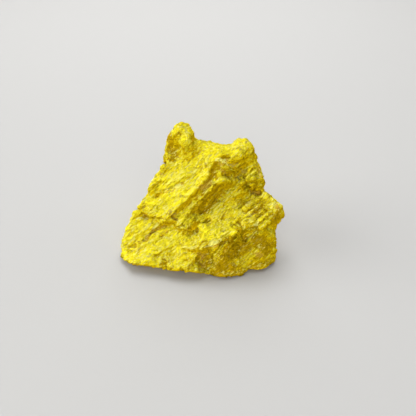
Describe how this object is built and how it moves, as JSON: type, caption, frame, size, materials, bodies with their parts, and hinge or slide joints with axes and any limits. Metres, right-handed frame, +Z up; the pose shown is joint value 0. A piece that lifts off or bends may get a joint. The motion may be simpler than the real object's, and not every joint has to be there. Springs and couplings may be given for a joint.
{
  "type": "orpiment",
  "caption": "Rough hand-sized lump of yellow orpiment: a sloping foliated slab with a crest and hollow, a blunt horn, a jutting ledge and a flat face to rest on.",
  "frame": {"origin": "middle of the bottom of the bounding box, on the surface that the lump rests on", "axes": "+Z up, +X along the longest side, towards the jutting ledge; the sloping slab and the crest face -Y"},
  "size_m": [0.046, 0.034, 0.0333],
  "materials": {
    "orpiment": "rough broken mineral, lemon to golden yellow, with small pearly flakes"
  },
  "bodies": {
    "root": {"orpiment": "orpiment"}
  },
  "joints": []
}
